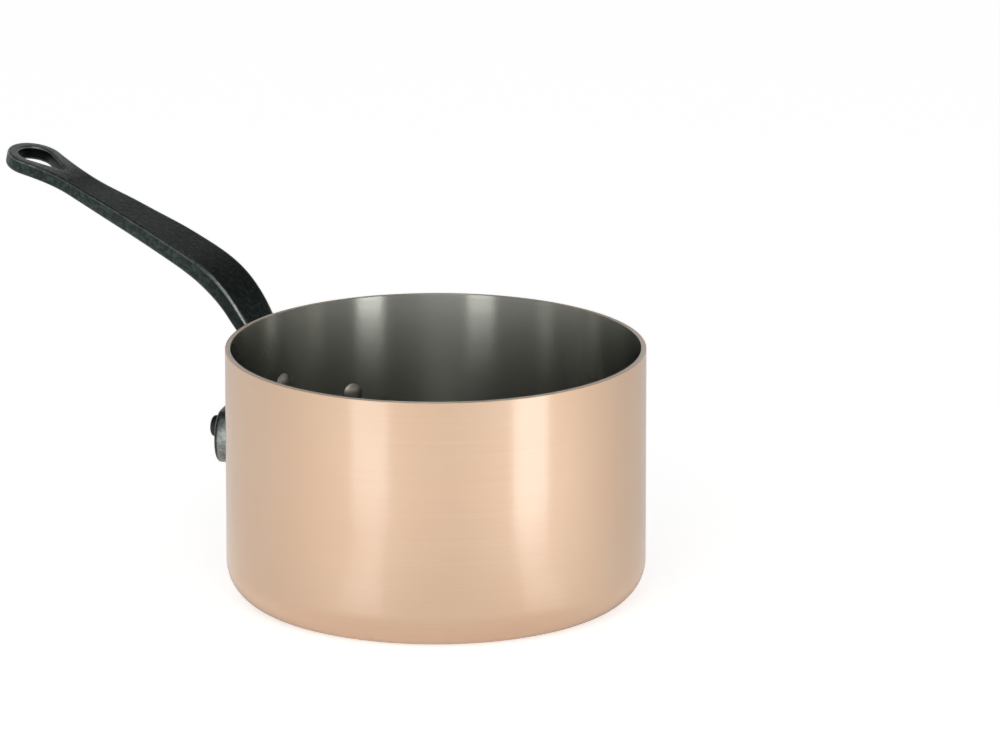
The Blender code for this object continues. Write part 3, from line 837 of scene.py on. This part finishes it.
def pale_world(right):
    """A studio with a white backdrop, a little dimmer to the right in the metal, and a dim ceiling.

    It lights the pan at a plain level.
    """
    world = bpy.data.worlds.new("pale_studio")
    world.use_nodes = True
    tree = world.node_tree
    tree.nodes.clear()
    direction = add_node(tree, "ShaderNodeTexCoord").outputs["Generated"]
    parts = add_node(tree, "ShaderNodeSeparateXYZ", links={"Vector": direction})
    ceiling = add_node(tree, "ShaderNodeMapRange", {
        "interpolation_type": "SMOOTHSTEP", "From Min": 0.2, "From Max": 0.65, "To Min": 1, "To Max": 0.1}, {
        "Value": parts.outputs["Z"]})
    sideways = add_node(tree, "ShaderNodeVectorMath", {"operation": "DOT_PRODUCT", 1: right}, {
        0: direction})
    side = add_node(tree, "ShaderNodeMapRange", {
        "From Min": -0.9, "From Max": 1, "To Min": 1.03, "To Max": 0.80}, {
        "Value": sideways.outputs["Value"]})
    graded = add_node(tree, "ShaderNodeMath", {"operation": "MULTIPLY"}, {
        0: ceiling.outputs[0], 1: side.outputs[0]})
    straight, mirrored = backdrop_rays(tree)
    strength = add_node(tree, "ShaderNodeMath", {"operation": "MAXIMUM"}, {
        0: graded.outputs[0], 1: straight})
    seen = add_node(tree, "ShaderNodeBackground", {"Color": (1, 1, 1, 1)}, {
        "Strength": strength.outputs[0]})
    light = add_node(tree, "ShaderNodeBackground", {"Color": (1, 1, 1, 1), "Strength": 0.35})
    shown = add_node(tree, "ShaderNodeMath", {"operation": "MAXIMUM"}, {0: mirrored, 1: straight})
    mix = add_node(tree, "ShaderNodeMixShader", links={
        0: shown.outputs[0], 1: light.outputs[0], 2: seen.outputs[0]})
    add_node(tree, "ShaderNodeOutputWorld", links={"Surface": mix.outputs[0]})
    return world


def softbox(name, towards_camera, turn, distance, height, aim, size, radiance):
    """A softbox turned round the pan from the camera's side, facing a height on the pan's axis."""
    direction = Matrix.Rotation(turn, 3, "Z") @ towards_camera
    bpy.ops.object.light_add(type="AREA")
    lamp = bpy.context.object
    lamp.name = name
    lamp.data.shape = "RECTANGLE"
    lamp.data.size, lamp.data.size_y = size
    # A flat lamp's power is its radiance times pi times its area
    lamp.data.energy = radiance * math.pi * size[0] * size[1]
    lamp.visible_camera = False
    lamp.location = direction * distance + Vector((0, 0, height))
    lamp.rotation_mode = "QUATERNION"
    lamp.rotation_quaternion = (Vector((0, 0, aim)) - lamp.location).to_track_quat("-Z", "Y")
    return lamp


def lay_face_up(lamp, towards_camera, turn):
    """Lay a softbox flat, shining up, its long side pointing at the pan."""
    heading = turn + math.atan2(towards_camera.y, towards_camera.x) - math.pi / 2
    spin = Matrix.Rotation(heading, 3, "Z").to_quaternion()
    lamp.rotation_quaternion = spin @ Matrix.Rotation(math.pi, 3, "X").to_quaternion()


class SAUCEPAN_OT_studio(bpy.types.Operator):
    """Set up the camera, the floor, the backdrop and the lamps"""
    bl_idname = "saucepan.studio"
    bl_label = "Studio"

    def execute(self, context):
        studio = context.scene.studio
        away = Vector((math.cos(studio.azimuth), -math.sin(studio.azimuth), 0))
        right = Vector((-math.sin(studio.azimuth), -math.cos(studio.azimuth), 0))
        look = away * math.cos(studio.elevation) - Vector((0, 0, math.sin(studio.elevation)))
        up = right.cross(look)

        bpy.ops.object.camera_add()
        camera = context.object
        camera.name = "view"
        place = right * studio.aim_right + up * studio.aim_up - look * studio.distance
        camera.matrix_world = Matrix.Translation(place) @ Matrix((right, up, -look)).transposed().to_4x4()
        camera.data.sensor_width = 36
        camera.data.lens = studio.lens
        context.scene.camera = camera

        bpy.ops.mesh.primitive_plane_add(size=FLOOR_SIZE, location=(0, 0, 0))
        floor = new_piece("floor")
        floor.data.materials.append(white_floor(right, away))
        context.scene.world = pale_world(right)

        # The strips, the streaks and the overhead softbox show only in the metal
        for side, turn, low, radiance, floor_radiance in (
                ("left", studio.left_turn, LEFT_STRIP_LOW, studio.left_radiance, studio.left_floor),
                ("right", studio.right_turn, RIGHT_STRIP_LOW, studio.right_radiance, studio.right_floor)):
            middle = (low + STRIP_TOP) / 2
            strip = softbox(f"{side}_strip", -away, turn, distance=STRIP_DISTANCE, height=middle, aim=middle,
                            size=(STRIP_WIDTH, STRIP_TOP - low), radiance=radiance)
            strip.visible_diffuse = False
            streak = softbox(f"{side}_streak", -away, turn, distance=STREAK_DISTANCE, height=STREAK_HEIGHT,
                             aim=STREAK_HEIGHT, size=STREAK_SIZE, radiance=floor_radiance)
            streak.visible_diffuse = False
            lay_face_up(streak, -away, turn)
        softbox("front_softbox", -away, studio.front_turn, distance=0.8, height=0.62, aim=0.1,
                size=(0.5, 0.35), radiance=studio.front_radiance)
        overhead = softbox("overhead_softbox", -away, studio.front_turn, distance=0.3, height=0.95, aim=0.05,
                           size=(0.45, 0.45), radiance=studio.overhead_radiance)
        overhead.visible_diffuse = False
        context.scene.view_settings.view_transform = "Standard"
        return {"FINISHED"}


class SAUCEPAN_OT_copper_body(bpy.types.Operator):
    """Model the copper body"""
    bl_idname = "saucepan.copper_body"
    bl_label = "Copper body"

    def execute(self, context):
        pan = context.scene.pan_sizes
        piece = bowl("copper_body", pan, 0, pan.copper, pan.rim)
        finish_piece(piece, brushed_copper(context.scene.finishes), "copper_shell")
        return {"FINISHED"}


class SAUCEPAN_OT_steel_lining(bpy.types.Operator):
    """Model the stainless lining"""
    bl_idname = "saucepan.steel_lining"
    bl_label = "Stainless lining"

    def execute(self, context):
        pan = context.scene.pan_sizes
        piece = bowl("stainless_lining", pan, pan.copper, pan.steel, pan.steel * LINING_RIM)
        finish_piece(piece, brushed_stainless(context.scene.finishes), "steel_lining")
        return {"FINISHED"}


class SAUCEPAN_OT_handle(bpy.types.Operator):
    """Model the cast-iron handle"""
    bl_idname = "saucepan.handle"
    bl_label = "Cast-iron handle"

    def execute(self, context):
        settings = context.scene
        pan, rivets, hand = settings.pan_sizes, settings.rivet_sizes, settings.handle_sizes
        lines = rails(pan, rivets, hand)
        points = half_outline(pan, rivets, hand, lines[3])
        piece = flat_casting(points, hand)
        slice_casting(piece, lines[3][-1], max(point.y for point in points))
        bend_casting(piece, pan, rivets, hand, lines)
        finish_piece(piece, cast_iron(settings.finishes), "handle")
        return {"FINISHED"}


class SAUCEPAN_OT_rivets(bpy.types.Operator):
    """Model the three rivets"""
    bl_idname = "saucepan.rivets"
    bl_label = "Rivets"

    def execute(self, context):
        settings = context.scene
        pan, rivets, hand = settings.pan_sizes, settings.rivet_sizes, settings.handle_sizes
        profile = [Vector((point.x, 0, point.y)) for point in rivet_profile(pan, rivets, hand)]
        material = rivet_steel(settings.finishes)
        for name, angle, depth in rivet_places(rivets):
            piece = trace(f"{name}_steel", profile)
            bpy.ops.mesh.spin(steps=RIVET_STEPS, angle=math.tau, center=(0, 0, 0), axis=(0, 0, 1))
            bpy.ops.mesh.select_all(action="SELECT")
            bpy.ops.mesh.remove_doubles(threshold=MERGE)
            bpy.ops.mesh.normals_make_consistent(inside=False)
            bpy.ops.object.mode_set(mode="OBJECT")
            aim_outwards(piece, angle, pan.height - depth)
            finish_piece(piece, material, name)
        return {"FINISHED"}


class SAUCEPAN_PT_panel(bpy.types.Panel):
    """Buttons and sizes in the sidebar"""
    bl_idname = "SAUCEPAN_PT_panel"
    bl_label = "Saucepan"
    bl_space_type = "VIEW_3D"
    bl_region_type = "UI"
    bl_category = "Saucepan"

    def draw(self, context):
        for operator in OPERATORS:
            self.layout.operator(operator.bl_idname)
        for name, group in GROUPS.items():
            box = self.layout.box()
            box.label(text=group.__doc__)
            for item in group.__annotations__:
                box.prop(getattr(context.scene, name), item)


OPERATORS = (
    SAUCEPAN_OT_studio,
    SAUCEPAN_OT_copper_body,
    SAUCEPAN_OT_steel_lining,
    SAUCEPAN_OT_handle,
    SAUCEPAN_OT_rivets,
)
GROUPS = {
    "pan_sizes": PanSizes,
    "rivet_sizes": RivetSizes,
    "handle_sizes": HandleSizes,
    "finishes": Finishes,
    "studio": StudioSettings,
}


def register():
    """Register the settings, the operators and the panel."""
    for name, group in GROUPS.items():
        bpy.utils.register_class(group)
        setattr(bpy.types.Scene, name, bpy.props.PointerProperty(type=group))
    for item in (*OPERATORS, SAUCEPAN_PT_panel):
        bpy.utils.register_class(item)


def unregister():
    """Take them all away again."""
    for item in reversed((*OPERATORS, SAUCEPAN_PT_panel)):
        bpy.utils.unregister_class(item)
    for name, group in GROUPS.items():
        delattr(bpy.types.Scene, name)
        bpy.utils.unregister_class(group)


def main():
    """Build the studio and every piece."""
    register()
    bpy.ops.saucepan.studio()
    bpy.ops.saucepan.copper_body()
    bpy.ops.saucepan.steel_lining()
    bpy.ops.saucepan.handle()
    bpy.ops.saucepan.rivets()


if __name__ == "__main__":
    main()
